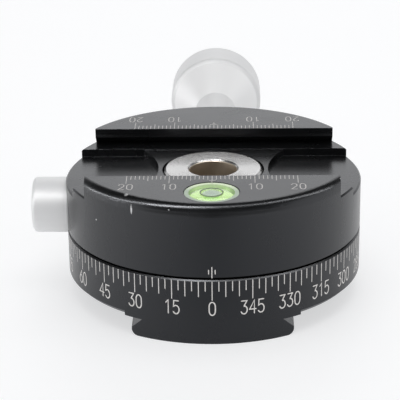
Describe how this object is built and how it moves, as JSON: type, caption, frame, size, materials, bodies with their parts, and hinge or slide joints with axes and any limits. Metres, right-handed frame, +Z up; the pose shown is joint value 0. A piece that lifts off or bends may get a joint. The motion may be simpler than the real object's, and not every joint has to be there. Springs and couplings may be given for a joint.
{
  "type": "panning clamp",
  "caption": "Round panning clamp with a dovetail plate channel, a screw-drawn jaw, a graduated turning base with its own lock, a round level and a dovetail foot.",
  "frame": {"origin": "on the pan axis, at the flat underside of the dovetail foot", "axes": "+Z up along the pan axis, +Y towards the clamp knob along the jaw's travel, -X towards the pan lock knob, X along the plate channel"},
  "size_m": [0.0803, 0.1121, 0.0386],
  "materials": {
    "black_anodised": "satin black anodised",
    "satin_silver": "smooth satin clear anodised",
    "turned_steel": "face turned",
    "plain_steel": "plain",
    "bearing_bronze": "machined",
    "slip_plastic": "smooth",
    "level_housing": "translucent",
    "level_mark": "printed",
    "level_spirit": "clear tinted",
    "level_air": "clear",
    "level_window": "polished"
  },
  "bodies": {
    "base": {"dial_base": "black_anodised", "pan_drum": "plain_steel", "mount_insert": "turned_steel", "slip_ring": "slip_plastic", "lower_thrust_washer": "slip_plastic", "pan_hub": "turned_steel", "hub_lock_screw": "plain_steel", "upper_thrust_washer": "slip_plastic", "disc_spring": "plain_steel"},
    "clamp": {"upper_body": "black_anodised", "pan_bush": "bearing_bronze", "level_cup": "level_housing", "level_liquid": "level_spirit", "level_bubble": "level_air", "level_lens": "level_window", "level_ring": "level_mark", "jaw_spring_left": "plain_steel", "jaw_spring_right": "plain_steel"},
    "jaw": {"movable_jaw": "black_anodised", "guide_pin_left": "plain_steel", "guide_pin_right": "plain_steel", "clamp_washer": "bearing_bronze"},
    "jaw_knob": {"clamp_knob": "satin_silver", "clamp_screw": "plain_steel", "knob_plug": "satin_silver"},
    "pan_brake": {"brake_shoe": "bearing_bronze"},
    "pan_knob": {"pan_lock_knob": "satin_silver", "pan_lock_stud": "plain_steel"}
  },
  "joints": [
    {"name": "pan_turn", "type": "hinge", "parent": "base", "child": "clamp", "pos_m": [0, 0, 0], "axis": [0, 0, 1], "continuous": true},
    {"name": "jaw_slide", "type": "slide", "parent": "clamp", "child": "jaw", "axis": [0, 1, 0], "range_m": [-0.0024, 0.0046], "deforming": ["jaw_spring_left", "jaw_spring_right"]},
    {"name": "clamp_knob_turn", "type": "hinge", "parent": "jaw", "child": "jaw_knob", "pos_m": [0, 0.0363, 0.0262], "axis": [0, 1, 0], "range_deg": [-864, 1656]},
    {"name": "brake_slide", "type": "slide", "parent": "clamp", "child": "pan_brake", "axis": [-1, 0, 0], "range_m": [0, 0.0005]},
    {"name": "pan_lock_turn", "type": "hinge", "parent": "pan_brake", "child": "pan_knob", "pos_m": [-0.0363, 0, 0.0208], "axis": [-1, 0, 0], "range_deg": [0, 180]}
  ],
  "couplings": [
    {"joint": "clamp_knob_turn", "follows": "jaw_slide", "rad_per_m": 6283.2},
    {"joint": "pan_lock_turn", "follows": "brake_slide", "rad_per_m": 6283.2}
  ]
}
